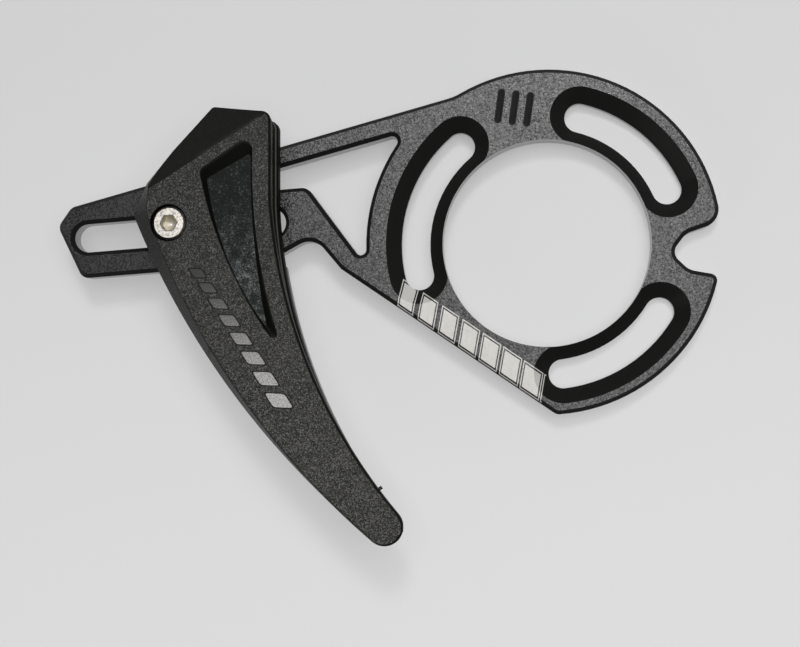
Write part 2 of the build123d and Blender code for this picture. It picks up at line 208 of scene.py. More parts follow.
def give(node, material):
    """Puts a finish on a CAD node in place of its own."""
    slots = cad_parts[node].data.materials
    slots.clear()
    slots.append(material)


class PlateSettings(bpy.types.PropertyGroup):
    """Finish of the anodised back plate and the etched bars in its face"""

    face_colour: FloatVectorProperty(
        name="Blasted face", description="Reflection colour of the bead-blasted flat face",
        default=(0.0555, 0.056, 0.0555), subtype="COLOR", size=3, min=0, max=1)
    bevel_colour: FloatVectorProperty(
        name="Machined bevel", description="Colour of the chamfers and countersinks",
        default=(0.0125, 0.012, 0.0115), subtype="COLOR", size=3, min=0, max=1)
    wall_colour: FloatVectorProperty(
        name="Cut wall", description="Reflection colour of the bore, slot and edge walls",
        default=(0.40, 0.40, 0.405), subtype="COLOR", size=3, min=0, max=1)
    etch_colour: FloatVectorProperty(
        name="Etched metal", description="Colour of the laser-etched bars",
        default=(0.60, 0.59, 0.56), subtype="COLOR", size=3, min=0, max=1)
    grain_size: FloatProperty(
        name="Blast grain", description="Size of the blasted grain",
        default=0.00033, unit="LENGTH", min=0.00005)
    etch_pitch: FloatProperty(
        name="Bar pitch", description="Distance between the etched bars",
        default=0.0053, unit="LENGTH", min=0.001)
    etch_bars: IntProperty(
        name="Bars", description="Number of etched bars", default=7, min=1)


class ShellSettings(bpy.types.PropertyGroup):
    """Finish of the two moulded shells"""

    colour: FloatVectorProperty(
        name="Plastic", description="Colour of the textured black plastic",
        default=(0.0056, 0.0055, 0.0048), subtype="COLOR", size=3, min=0, max=1)
    # Pale colour painted for the sheen and glints of the grain on up-facing faces, and for the edge
    # highlights
    sheen_colour: FloatVectorProperty(
        name="Grain tips", description="Pale colour painted as sheen and glints on the grain of up-facing faces, and as highlights on the edges",
        default=(0.125, 0.123, 0.114), subtype="COLOR", size=3, min=0, max=1)
    panel_colour: FloatVectorProperty(
        name="Panel", description="Colour of the smoother sunk panel",
        default=(0.0095, 0.0105, 0.0104), subtype="COLOR", size=3, min=0, max=1)
    scuff_colour: FloatVectorProperty(
        name="Scuffs", description="Colour of the scuffed patches in the panel",
        default=(0.16, 0.172, 0.168), subtype="COLOR", size=3, min=0, max=1)
    # Painted reflection: the keel is coloured pale for the floor it reflects
    keel_reflection_colour: FloatVectorProperty(
        name="Keel", description="Pale colour painted on the inner shell's keel for its reflection of the floor",
        default=(0.23, 0.23, 0.225), subtype="COLOR", size=3, min=0, max=1)
    grain_size: FloatProperty(
        name="Moulded grain", description="Size of the moulded grain",
        default=0.00030, unit="LENGTH", min=0.00005)
    # Strength of the highlights painted along the shells' edges
    edge_highlight: FloatProperty(
        name="Edge highlights", description="Strength of the highlights painted on the mouth's walls, the panel's rim and the flange's lip",
        default=0.75, subtype="FACTOR", min=0, max=1)


class HardwareSettings(bpy.types.PropertyGroup):
    """Finish of the clamp screw, washer, nut and lock ring"""

    screw_colour: FloatVectorProperty(
        name="Screw", description="Reflection colour of the bright steel screw",
        default=(0.70, 0.665, 0.615), subtype="COLOR", size=3, min=0, max=1)
    socket_colour: FloatVectorProperty(
        name="Socket", description="Warmer colour of the screw's socket towards its walls",
        default=(0.62, 0.57, 0.455), subtype="COLOR", size=3, min=0, max=1)
    plating_colour: FloatVectorProperty(
        name="Plating", description="Reflection colour of the plated washer and nut",
        default=(0.60, 0.61, 0.62), subtype="COLOR", size=3, min=0, max=1)
    ring_colour: FloatVectorProperty(
        name="Lock ring", description="Colour of the polymer lock ring",
        default=(0.62, 0.63, 0.60), subtype="COLOR", size=3, min=0, max=1)


class StrokeSettings(bpy.types.PropertyGroup):
    """Row of dished strokes at the top of the plate's ring"""

    count: IntProperty(name="Strokes", description="Number of strokes in the row", default=3, min=1)
    pitch: FloatProperty(
        name="Pitch", description="Distance between the strokes", default=0.0031, unit="LENGTH", min=0.0005)
    length: FloatProperty(
        name="Length", description="Length of a stroke", default=0.0075, unit="LENGTH", min=0.001)
    width: FloatProperty(
        name="Width", description="Width of a stroke", default=0.0016, unit="LENGTH", min=0.0002)
    rim: FloatProperty(
        name="Rim", description="How far a stroke's rim stands proud of the plate",
        default=0.00012, unit="LENGTH", min=0.00001)
    colour: FloatVectorProperty(
        name="Enamel", description="Colour of the black enamel in the strokes",
        default=(0.0085, 0.0083, 0.008), subtype="COLOR", size=3, min=0, max=1)
    # Colour of the highlight painted on the strokes' rims
    rim_highlight_colour: FloatVectorProperty(
        name="Rim highlight", description="Colour of the highlight painted on the strokes' rims",
        default=(0.045, 0.045, 0.044), subtype="COLOR", size=3, min=0, max=1)


class DashSettings(bpy.types.PropertyGroup):
    """Row of polished dashes along the guide's tail"""

    count: IntProperty(name="Dashes", description="Number of dashes in the row", default=8, min=1)
    first_height: FloatProperty(
        name="First height", description="Height of the dash nearest the screw",
        default=0.0026, unit="LENGTH", min=0.0005)
    last_height: FloatProperty(
        name="Last height", description="Height of the dash nearest the tip",
        default=0.0039, unit="LENGTH", min=0.0005)
    slant: FloatProperty(
        name="Slant", description="Lean of the dashes along the row",
        default=radians(35), subtype="ANGLE")
    thickness: FloatProperty(
        name="Thickness", description="How far a dash stands proud of the shell",
        default=0.00008, unit="LENGTH", min=0.00001)
    # The dashes' pale colour is painted sheen, strongest on the dash nearest the tip
    colour: FloatVectorProperty(
        name="Polish", description="Pale colour painted as sheen on the dash nearest the tip",
        default=(0.52, 0.51, 0.50), subtype="COLOR", size=3, min=0, max=1)
    # The dash nearest the screw has hardly any painted sheen
    sheenless_colour: FloatVectorProperty(
        name="Without sheen", description="Colour of the dash nearest the screw",
        default=(0.036, 0.036, 0.034), subtype="COLOR", size=3, min=0, max=1)


class StageSettings(bpy.types.PropertyGroup):
    """Floor, lamps and room light"""

    floor_colour: FloatVectorProperty(
        name="Floor", description="Colour of the plain floor",
        default=(0.75, 0.75, 0.752), subtype="COLOR", size=3, min=0, max=1)
    floor_size: FloatProperty(
        name="Floor size", description="Side of the square floor",
        default=40.0, unit="LENGTH", min=0.5)
    floor_lift: FloatProperty(
        name="Shadow lift", description="Share of the floor's shadow that the backdrop glow fills",
        default=0.52, subtype="FACTOR", min=0, max=1)
    room_level: FloatProperty(
        name="Room light", description="Strength of the dim room above", default=0.10, min=0)
    horizon_level: FloatProperty(
        name="Horizon", description="Strength of the pale backdrop at the horizon", default=0.55, min=0)
    key_power: FloatProperty(
        name="Softbox", description="Power of the softbox overhead", default=3.8, unit="POWER", min=0)
    side_power: FloatProperty(
        name="Side", description="Power of the small lamp above the ring",
        default=1.7, unit="POWER", min=0)
    fill_power: FloatProperty(
        name="Fill", description="Power of the low lamp at the left", default=0.55, unit="POWER", min=0)


# Etched bars: the row's centre in metres, and sizes in millimetres along and across the row
ETCH_CENTRE = (-0.0179, -0.0190, 0.0)
ETCH_TURN = radians(-38.3)
ETCH_SLANT = radians(24)
ETCH_HALF_BAR = 1.72
ETCH_WIDEN = 0.26
ETCH_HALF_HEIGHT = 2.2
ETCH_LINE_GAP = 0.42
ETCH_LINE_HALF = 0.11
ETCH_BLUR = 0.03
ETCH_ROW_MARGIN = 0.15
ETCH_ROW_BLUR = 0.05


def etched_bars(start, settings):
    """Mask of the etched bars beside the bore: one slanted bar and its outline, folded along the row by the
    distance to the nearest multiple of the pitch. The bars widen along the row."""
    pitch = settings.etch_pitch / MM
    half_row = settings.etch_bars * pitch / 2
    along, across, _ = split_xyz(local_mm(start, ETCH_CENTRE, ETCH_TURN))
    row = along + across * tan(ETCH_SLANT)
    half_bar = row * (ETCH_WIDEN / half_row) + ETCH_HALF_BAR
    past_height = abs(across) - ETCH_HALF_HEIGHT
    beyond_bar = (abs(row.fold(pitch)) - half_bar).at_least(past_height)
    beyond_row = (abs(row) - half_row).at_least(past_height)
    in_row = beyond_row.below(ETCH_LINE_GAP + ETCH_ROW_MARGIN, ETCH_ROW_BLUR)
    bars = beyond_bar.below(0.0, ETCH_BLUR)
    outlines = abs(beyond_bar - ETCH_LINE_GAP).below(ETCH_LINE_HALF, ETCH_BLUR)
    return bars.at_least(outlines) * in_row


# Masks by how far a face looks up: the value at which each is 0, then the one at which it is 1
PLATE_FLAT_UP = (0.90, 0.97)
PLATE_UPPER_UP = (0.2, 0.4)
STEEP_UP = (0.3, 0.1)

# Grain of the blasted face: bands of noise, what each adds to the finish, and the levels of the tone
BLAST_BAND = (0.36, 0.64)
BLAST_TONE = 0.7
BLAST_ROUGH = 0.2
BLAST_DEPTH = 0.000018
# The sparks are glints painted into the colour of the blasted face
SPARK_BAND = (0.70, 1.0)
SPARK_TONE = 0.5
PLATE_CLOUD_SIZE = 9.0
PLATE_CLOUD_TONE = 0.25
DARKEST_GRAIN = 0.3
BRIGHTEST_GRAIN = 1.8

# The arm's end, where shade is painted: the face turns darker and its grain fainter towards the end.
# Millimetres along X, then tones
ARM_PAINTED_SHADE_PLACES = (-58.0, -80.0)
ARM_SHADED_GRAIN_SHARE = (1.0, 0.35)
ARM_PAINTED_SHADE_TONE = 0.19

# Values on the bare plate, then on the etched bars
PLATE_ROUGH = (0.35, 0.55)
PLATE_METAL = (0.8, 0.24)


class CHAINGUIDE_OT_plate(bpy.types.Operator):
    """Gives the back plate its blasted face, dark bevels and etched bars"""

    bl_idname = "chainguide.plate"
    bl_label = "Finish back plate"

    def execute(self, context):
        settings = context.scene.chainguide_plate
        material, start = new_finish("blasted_anodise")
        points = local_mm(start)
        up = facing(start)[2]
        flat = up.step(*PLATE_FLAT_UP)
        wall = abs(up).step(*STEEP_UP)
        etched = etched_bars(start, settings) * up.step(*PLATE_UPPER_UP)

        size = settings.grain_size / MM
        blast = grain(points, size, detail=1.5, roughness=0.6).step(*BLAST_BAND)
        spark = flecks(points, size).step(*SPARK_BAND)
        cloud = grain(points, PLATE_CLOUD_SIZE, detail=2.0)
        tone = blast * BLAST_TONE + spark * SPARK_TONE + cloud.swing(PLATE_CLOUD_TONE)
        tone = tone.at_least(0.0).at_most(1.0)
        # Painted shade: towards the arm's end the face's tone is darkened and its grain evened out
        painted_light_mask = split_xyz(points)[0].step(*ARM_PAINTED_SHADE_PLACES)
        tone = tone * painted_light_mask.between(*ARM_SHADED_GRAIN_SHARE) + painted_light_mask * ARM_PAINTED_SHADE_TONE

        face = tone.mix(rgb(settings.face_colour, DARKEST_GRAIN), rgb(settings.face_colour, BRIGHTEST_GRAIN))
        cut = wall.mix(rgb(settings.bevel_colour), rgb(settings.wall_colour))
        colour = etched.mix(flat.mix(cut, face), rgb(settings.etch_colour))
        rough = blast.swing(BLAST_ROUGH) * flat + etched.between(*PLATE_ROUGH)
        metal = flat.at_least(wall) * etched.between(*PLATE_METAL)
        relief = bump(start, blast * flat, BLAST_DEPTH, strength=0.6)
        satin = surface(start, Base_Color=colour, Roughness=rough, Metallic=metal,
                        Specular_IOR_Level=0.25, Normal=relief)
        matt = surface(start, Base_Color=colour, Roughness=0.34, Specular_IOR_Level=0.07, Normal=relief)
        shade(start, satin, matt, 1 - flat.at_least(wall).at_least(etched))
        give("back_plate", material)
        return {"FINISHED"}


# Moulded grain: bands of noise, sizes as shares of the grain's own, and what each adds
COARSE_BAND = (0.38, 0.62)
COARSE_HEIGHT = 0.6
FINE_BAND = (0.32, 0.68)
FINE_SIZE = 0.6
FINE_ROUGH = 0.16
# The tips are glints painted into the colour
TIP_BAND = (0.70, 1.0)
TIP_SIZE = 0.8
TIP_TONE = 0.75
TIP_ROUGH = 0.06
GRAIN_TONE = 0.62
GRAIN_DEPTH = 0.00008
SHELL_CLOUD_SIZE = 6.0
SHELL_CLOUD_TONE = 0.2
SHELL_ROUGH = 0.46
# Painted sheen: the grain's tone is full on up-facing faces and faint on the rest
UP_FACE_SHEEN_TONE = (0.15, 1.0)
# Rows down the tail, in millimetres, over which the grain's tone grows paler, and its levels there
TAIL_PALER_ROWS = (28.0, -55.0)
TAIL_PALER_TONE = (0.86, 1.48)


def moulded_finish(points, painted_light_mask, settings):
    """Tone, roughness and height of the moulded grain: two noises and a sprinkle of tips, the tips being
    painted glints.
    The tone is full on up-facing faces, as painted sheen, and faint elsewhere, and it rises down the tail."""
    size = settings.grain_size / MM
    coarse = grain(points, size, detail=1.0, roughness=0.6).step(*COARSE_BAND)
    fine = grain(points, FINE_SIZE * size, detail=0.0).step(*FINE_BAND)
    tips = flecks(points, TIP_SIZE * size).step(*TIP_BAND)
    cloud = grain(points, SHELL_CLOUD_SIZE, detail=2.0)
    tone = coarse * fine * GRAIN_TONE + tips * tips * TIP_TONE + cloud.swing(SHELL_CLOUD_TONE)
    tone = tone.at_least(0.0).at_most(1.0) * painted_light_mask.between(*UP_FACE_SHEEN_TONE)
    paling = split_xyz(points)[1].step(*TAIL_PALER_ROWS)
    tone = (tone * paling.between(*TAIL_PALER_TONE)).at_most(1.0)
    rough = fine.swing(FINE_ROUGH) + SHELL_ROUGH - tips * TIP_ROUGH
    height = coarse * COARSE_HEIGHT + fine * (1 - COARSE_HEIGHT)
    return tone, rough, height


# Scuffs in the sunk panel: sizes in millimetres, bands of noise, and shares from unworn to worn
PANEL_WORN_ROWS = (13.0, -10.0)
PANEL_WORN_SHARE = (0.13, 1.83)
PATCH_SIZE = 2.2
PATCH_BAND = (0.38, 0.66)
PATCH_SHARE = (0.1, 1.0)
SCRATCH_SIZE = 0.27
SCRATCH_BAND = (0.47, 0.61)
SCRATCH_SHARE = (0.2, 1.0)
MOTTLE_SIZE = 0.40
MOTTLE_BAND = (0.36, 0.62)
MOTTLE_SHARE = (0.4, 1.0)
SPECK_SIZE = 0.25
SPECK_BAND = (0.80, 1.0)
SPECK_SHARE = (0.35, 0.90)
LONE_SPECK_SHARE = 0.08


def panel_scuffs(points):
    """Share of the panel that is scuffed pale: scratches and specks in soft patches, more so lower down."""
    patches = grain(points, PATCH_SIZE, detail=4.0, roughness=0.7).step(*PATCH_BAND)
    scratch = grain(points, SCRATCH_SIZE, detail=2.0, roughness=0.7).step(*SCRATCH_BAND)
    mottle = grain(points, MOTTLE_SIZE, detail=2.0, roughness=0.7).step(*MOTTLE_BAND)
    speck = flecks(points, SPECK_SIZE).step(*SPECK_BAND)
    lower = split_xyz(points)[1].step(*PANEL_WORN_ROWS)
    paling = lower.between(*PANEL_WORN_SHARE) * patches.between(*PATCH_SHARE)
    scratched = paling * scratch.between(*SCRATCH_SHARE) * mottle.between(*MOTTLE_SHARE)
    specked = speck * (patches * lower.between(*SPECK_SHARE) + LONE_SPECK_SHARE)
    return (scratched + specked).at_most(1.0)


# Places and depths on the outer shell, in millimetres, and the strength of the highlight painted on the
# panel's rim
PANEL_LEFT = -71.0
PANEL_RIGHT = -57.2
PANEL_END = -18.0
PANEL_BLUR = 1.0
PANEL_SUNK = (0.3, 0.5)
PANEL_RIM_DEPTHS = (0.6, 0.0)
PANEL_RIM_SHARE = 0.2
MOUTH_LIP = 15.9
LIP_BLUR = 0.2

# Which way the shells' faces look, and the roof's share of the grain
SHELL_FLAT_UP = (0.95, 0.99)
ROOF_AHEAD = (0.30, 0.40)
ROOF_UP = (0.75, 0.80)
ROOF_GRAIN = 0.32
LEFT_BEVEL_SIDE = (-0.12, -0.20)
PANEL_WALL_UP = (0.1, 0.2)


def outer_masks(points, looks, flat):
    """Masks of the outer shell: its sunk panel, the faces without grain, and the edges where highlights are
    painted.
    """
    place, row, level = split_xyz(points)
    side, ahead, up = looks
    depth = GUIDE_FACE / MM - level
    panel = flat * depth.step(*PANEL_SUNK)
    off_panel = place.below(PANEL_LEFT, PANEL_BLUR).at_least(row.below(PANEL_END, PANEL_BLUR))
    roof = ahead.step(*ROOF_AHEAD) * up.step(*ROOF_UP)
    left_bevel = side.step(*LEFT_BEVEL_SIDE) * off_panel * (1 - roof)
    ungrained = 1 - (flat - panel).at_least(left_bevel).at_least(roof * ROOF_GRAIN)
    # Painted highlight: the lower part of the mouth's steep walls
    mouth = abs(up).step(*STEEP_UP) * level.below(MOUTH_LIP, LIP_BLUR)
    panel_wall = (1 - off_panel) * place.below(PANEL_RIGHT, LIP_BLUR) * up.step(*PANEL_WALL_UP)
    # Painted highlight along the rim of the panel's upper wall
    panel_rim = panel_wall * depth.step(*PANEL_RIM_DEPTHS) * PANEL_RIM_SHARE
    return panel, ungrained, mouth.at_least(panel_rim)


# Levels on the inner shell, in millimetres, and how far its flange looks up
KEEL_TOP = 4.5
KEEL_BLUR = 0.1
FLANGE_LIP = 7.22
FLANGE_LIP_HALF = 0.13
FLANGE_LIP_BLUR = 0.05
FLANGE_UP = (0.5, 0.6)


def inner_masks(points, looks, flat):
    """Masks of the inner shell: its keel, painted pale as a reflection of the floor, the faces without
    grain, and the flange's lip, where a highlight is painted.
    """
    level = split_xyz(points)[2]
    # The keel is painted pale as a reflection of the floor
    keel = level.below(KEEL_TOP, KEEL_BLUR)
    ungrained = (1 - flat) * (1 - keel)
    # Painted highlight: a line along the flange's lead-in chamfer
    lip_line = abs(level - FLANGE_LIP).below(FLANGE_LIP_HALF, FLANGE_LIP_BLUR)
    return keel, ungrained, looks[2].step(*FLANGE_UP) * ungrained * lip_line


class CHAINGUIDE_OT_shells(bpy.types.Operator):
    """Gives both shells their moulded grain, and the outer one its smoother scuffed panel"""

    bl_idname = "chainguide.shells"
    bl_label = "Finish moulded shells"

    def execute(self, context):
        settings = context.scene.chainguide_shells
        black, pale = rgb(settings.colour), rgb(settings.sheen_colour)
        for node in ("outer_guide_shell", "inner_guide_shell"):
            material, start = new_finish(f"moulded_{node}")
            points = local_mm(start)
            looks = facing(start)
            flat = looks[2].step(*SHELL_FLAT_UP)
            tone, rough, height = moulded_finish(points, flat, settings)
            grained_colour = tone.mix(black, pale)
            if node == "outer_guide_shell":
                panel, ungrained, lip = outer_masks(points, looks, flat)
                scuffs = panel_scuffs(points)
                panel_colour = scuffs.mix(rgb(settings.panel_colour), rgb(settings.scuff_colour))
                # The edges in the highlight mask take the pale colour as a painted highlight
                plain_colour = panel.mix((lip * settings.edge_highlight).mix(black, pale), panel_colour)
            else:
                keel, ungrained, lip = inner_masks(points, looks, flat)
                # Painted reflection of the floor on the keel
                grained_colour = keel.mix(grained_colour, rgb(settings.keel_reflection_colour))
                # The flange's lip takes the pale colour as a painted highlight
                plain_colour = (lip * settings.edge_highlight).mix(black, pale)
            grained = surface(start, Base_Color=grained_colour, Roughness=rough, Specular_IOR_Level=0.28,
                              Normal=bump(start, height, GRAIN_DEPTH, strength=0.9))
            plain = surface(start, Base_Color=plain_colour, Roughness=0.6, Specular_IOR_Level=0.08)
            shade(start, grained, plain, ungrained)
            give(node, material)
        return {"FINISHED"}


# Turned and stained steel: base roughness, rings to the millimetre, the stains' size and what they do
STEEL_ROUGH = {"clamp_bolt": 0.36, "clamp_washer": 0.34, "clamp_nut": 0.32}
TURNED_RINGS = 9.0
TURNED_ROUGH = 0.16
TURNED_DEPTH = 0.00002
STAIN_SIZE = 0.42
STAIN_BAND = (0.36, 0.56)
STAIN_ROUGH = 0.18
STAINED_LEVEL = 0.46

# The screw's socket and its warmer tint towards the walls, in millimetres from the axis and below the head's
# face
SOCKET_REACH = 2.2
SOCKET_BLUR = 0.05
SOCKET_DEPTHS = (0.05, 0.3)
SOCKET_TINT_RADII = (0.5, 1.0)
SOCKET_TINT_METAL = 0.6

# Cloudiness of the lock ring's polymer
MILK_SIZE = 0.8
MILK_ROUGH = (0.38, 0.56)
MILK_LEVEL = 0.85


class CHAINGUIDE_OT_hardware(bpy.types.Operator):
    """Gives the screw its turned bright steel, the washer and nut their plating and the ring its polymer"""

    bl_idname = "chainguide.hardware"
    bl_label = "Finish clamp hardware"

    def execute(self, context):
        settings = context.scene.chainguide_hardware
        axis = (BOLT_AXIS.x, BOLT_AXIS.y, 0.0)
        for node, base_rough in STEEL_ROUGH.items():
            is_screw = node == "clamp_bolt"
            colour = settings.screw_colour if is_screw else settings.plating_colour
            material, start = new_finish(f"steel_{node}")
            points = local_mm(start, axis)
            across, along, level = split_xyz(points)
            radius = (across * across + along * along).root()
            rings = radius.node("ShaderNodeTexNoise", {"noise_dimensions": "1D"},
                                {"W": radius, "Scale": TURNED_RINGS, "Detail": 3.0})
            stain = grain(points, STAIN_SIZE, detail=3.0, roughness=0.7)
            tone = stain.step(*STAIN_BAND).mix(rgb(colour, STAINED_LEVEL), rgb(colour))
            rough = rings.swing(TURNED_ROUGH) + stain.swing(STAIN_ROUGH) + base_rough
            metal = 1.0
            if is_screw:
                depth = BOLT_HIGH.z / MM - level
                socket = radius.below(SOCKET_REACH, SOCKET_BLUR) * depth.step(*SOCKET_DEPTHS)
                # Towards the socket's walls the colour turns warmer and less metallic
                socket_tint = radius.step(*SOCKET_TINT_RADII).mix(rgb(colour), rgb(settings.socket_colour))
                tone = socket.mix(tone, socket_tint)
                metal = socket.between(1.0, SOCKET_TINT_METAL)
            shade(start, surface(start, Base_Color=tone, Roughness=rough, Metallic=metal,
                                 Normal=bump(start, rings, TURNED_DEPTH, strength=0.5)))
            give(node, material)

        material, start = new_finish("lock_polymer_ring")
        milk = grain(local_mm(start), MILK_SIZE, detail=3.0)
        tone = milk.mix(rgb(settings.ring_colour, MILK_LEVEL), rgb(settings.ring_colour))
        shade(start, surface(start, Base_Color=tone, Roughness=milk.between(*MILK_ROUGH)))
        give("nut_lock_ring", material)
        return {"FINISHED"}


# How deep the raised marks are let into their face, in metres, and the points round each of them
PAD_SUNK = 0.0001
PAD_AROUND = 48


def closed_pads(plan, levels, centres):
    """Vertices and faces of a row of pads. plan holds each pad's rings of points in X and Y, carried up
    through the levels; a fan on each pad's centre closes its top and another its underside."""
    count, rings, around, _ = plan.shape
    heights = np.broadcast_to(levels[None, :, None, None], (count, rings, around, 1))
    body = np.concatenate([plan, heights], axis=-1).reshape(-1, 3)
    tops = np.column_stack([centres, np.full(count, levels[-1])])
    unders = np.column_stack([centres, np.full(count, levels[0])])
    first = (np.arange(count) * rings * around)[:, None, None]
    lower = first + (np.arange(rings - 1) * around)[None, :, None]
    upper = lower + around
    here = np.arange(around)
    after = (here + 1) % around
    quads = np.stack([lower + here, lower + after, upper + after, upper + here], axis=-1).reshape(-1, 4)
    low = first[:, 0, :]
    high = low + (rings - 1) * around
    middle = np.broadcast_to((len(body) + np.arange(count))[:, None], (count, around))
    fans = np.concatenate([
        np.stack([high + here, high + after, middle], axis=-1).reshape(-1, 3),
        np.stack([low + after, low + here, middle + count], axis=-1).reshape(-1, 3)])
    return np.concatenate([body, tops, unders]), quads.tolist() + fans.tolist()


def add_pads(scene, name, shape, attribute, ring_share):
    """A piece from closed_pads, with an attribute that is given for each ring and pad.
    A pad's top takes the value of its last ring, and its underside that of its first."""
    points, faces = shape
    mesh = bpy.data.meshes.new(name)
    mesh.from_pydata(points.tolist(), [], faces)
    values = np.concatenate([ring_share.ravel(), ring_share[:, -1, 0], ring_share[:, 0, 0]])
    share = mesh.attributes.new(attribute, "FLOAT", "POINT")
    share.data.foreach_set("value", values.astype(np.float32))
    mesh.validate()
    piece = bpy.data.objects.new(name, mesh)
    scene.collection.objects.link(piece)
    return piece


# Row of strokes: its centre in the plate's plane and the way it runs
STROKE_CENTRE = np.array([-4.6, 29.4]) * MM
STROKE_TURN = radians(-12)

# Digits kept of a sine, so that a point beside a stroke's middle belongs to neither half
SINE_DIGITS = 9

# Profile of a stroke: insets as shares of its half width, heights above the skirt as shares of its rim, and
# the share of the painted rim highlight in the colour
STROKE_INSETS = np.array([0.0, 0.0, 0.06, 0.16, 0.45, 0.75, 0.92])
STROKE_LEVELS = np.array([0.7, 1.0, 0.9, 0.4, 0.15, 0.1])
STROKE_RIM = np.array([0.0, 1.0, 1.0, 0.6, 0.0, 0.0, 0.0])

# Rubbing of a stroke's enamel, from fresh to rubbed, which also breaks up the painted rim highlight
STROKE_RUB_SIZE = 0.25
STROKE_RUB_BAND = (0.35, 0.65)
STROKE_RIM_HIGHLIGHT_SHARE = (0.4, 1.0)
STROKE_ROUGH = (0.42, 0.54)
STROKE_DEPTH = 0.00001


def dished_strokes(settings):
    """Shape of the row of strokes and the share of each point that is rim.
    Each stroke is a capsule, x = r cos t and y = r sin t with its halves drawn apart by the straight length,
    carried up a profile: a sunk skirt, a rim and a dish that falls back almost to the plate's face."""
    count = settings.count
    ahead = np.array([np.cos(STROKE_TURN), np.sin(STROKE_TURN)])
    beside = np.array([-ahead[1], ahead[0]])
    offset = (np.arange(count) - (count - 1) / 2) * settings.pitch
    centres = STROKE_CENTRE + offset[:, None] * ahead
    half_width = settings.width / 2
    half_straight = settings.length / 2 - half_width
    levels = np.concatenate([[-PAD_SUNK], STROKE_LEVELS * settings.rim])
    angle = np.linspace(0, 2 * np.pi, PAD_AROUND, endpoint=False)
    reach = (half_width * (1 - STROKE_INSETS))[:, None]
    half = np.sign(np.round(np.sin(angle), SINE_DIGITS))
    x = reach * np.cos(angle)
    y = reach * np.sin(angle) + half * half_straight
    plan = centres[:, None, None, :] + x[None, ..., None] * ahead + y[None, ..., None] * beside
    rim = np.broadcast_to(STROKE_RIM[None, :, None], plan.shape[:3])
    return closed_pads(plan, PLATE_FACE + levels, centres), rim


class CHAINGUIDE_OT_strokes(bpy.types.Operator):
    """Lays the row of dished strokes on the plate's ring"""

    bl_idname = "chainguide.strokes"
    bl_label = "Add ring strokes"

    def execute(self, context):
        settings = context.scene.chainguide_strokes
        shape, rims = dished_strokes(settings)
        piece = add_pads(context.scene, "ring_strokes", shape, "rim", rims)
        material, start = new_finish("stroke_enamel")
        rim = start.node("ShaderNodeAttribute", {"attribute_name": "rim"}, None, out="Fac")
        rub = grain(local_mm(start), STROKE_RUB_SIZE, detail=2.0, roughness=0.6).step(*STROKE_RUB_BAND)
        # Painted highlight on the strokes' rims, broken up by the rubbing noise
        rim_highlight = rim * rub.between(*STROKE_RIM_HIGHLIGHT_SHARE)
        colour = rim_highlight.mix(rgb(settings.colour), rgb(settings.rim_highlight_colour))
        shade(start, surface(start, Base_Color=colour, Roughness=rub.between(*STROKE_ROUGH),
                             Specular_IOR_Level=0.06, Normal=bump(start, rub, STROKE_DEPTH, strength=0.4)))
        piece.data.materials.append(material)
        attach(piece, "plate")
        return {"FINISHED"}


# Row of dashes: its ends and bow, how much of it the dashes fill, how square they are, and their border
DASH_START = np.array([-73.2, -0.2]) * MM
DASH_END = np.array([-55.9, -31.6]) * MM
DASH_BOW = 0.35 * MM
DASH_FILL = 0.74
DASH_SQUARENESS = 7.0
DASH_BORDER = 0.00027

# Profile of a dash: insets past the border and heights above the skirt, both as shares of its thickness, and
# the share that is polished
DASH_INSETS = np.array([0.0, 0.3, 1.0])
DASH_LEVELS = np.array([0.15, 0.15, 0.75, 1.0])
DASH_POLISHED = np.array([0.0, 0.0, 0.0, 1.0, 1.0])

# Finish of a dash, from fresh to rubbed and from border to face
DASH_BORDER_COLOUR = (0.004, 0.004, 0.004)
DASH_RUB_SIZE = 0.3
DASH_RUB_BAND = (0.30, 0.70)
DASH_RUB_TONE = (0.45, 1.15)
DASH_RUB_ROUGH = 0.2
DASH_ROUGH = (0.6, 0.4)
DASH_DEPTH = 0.00002


def slanted_dashes(settings):
    """Shape of the row of dashes and the share of each point that is polished.
    Each dash is a superellipse |x/a|^n + |y/b|^n = 1 leant by x + y tan(slant), carried up a profile: a sunk
    skirt, a flat border, a rounded step and a face. The row bows by 4 s (1 - s) of its bow."""
    growth = np.linspace(settings.first_height, settings.last_height, settings.count)
    stops = np.cumsum(growth) - growth / 2
    share = (stops / growth.sum())[:, None]
    run = DASH_END - DASH_START
    length = np.hypot(*run)
    ahead = run / length
    beside = np.array([-ahead[1], ahead[0]])
    bow = 4 * share * (1 - share) * DASH_BOW
    centres = DASH_START + share * run + bow * beside
    half_b = growth / 2
    half_a = growth / growth.sum() * length * DASH_FILL / 2
    inset = np.concatenate([[0.0, 0.0], DASH_BORDER + DASH_INSETS * settings.thickness])
    levels = np.concatenate([[-PAD_SUNK], DASH_LEVELS * settings.thickness])
    angle = np.linspace(0, 2 * np.pi, PAD_AROUND, endpoint=False)
    power = 2 / DASH_SQUARENESS
    unit_x = np.sign(np.cos(angle)) * np.abs(np.cos(angle)) ** power
    unit_y = np.sign(np.sin(angle)) * np.abs(np.sin(angle)) ** power
    x = (half_a[:, None, None] - inset[None, :, None]) * unit_x
    y = (half_b[:, None, None] - inset[None, :, None]) * unit_y
    x = x + y * tan(settings.slant)
    plan = centres[:, None, None, :] + x[..., None] * ahead + y[..., None] * beside
    polished = np.broadcast_to(DASH_POLISHED[None, :, None], x.shape)
    return closed_pads(plan, GUIDE_FACE + levels, centres), polished


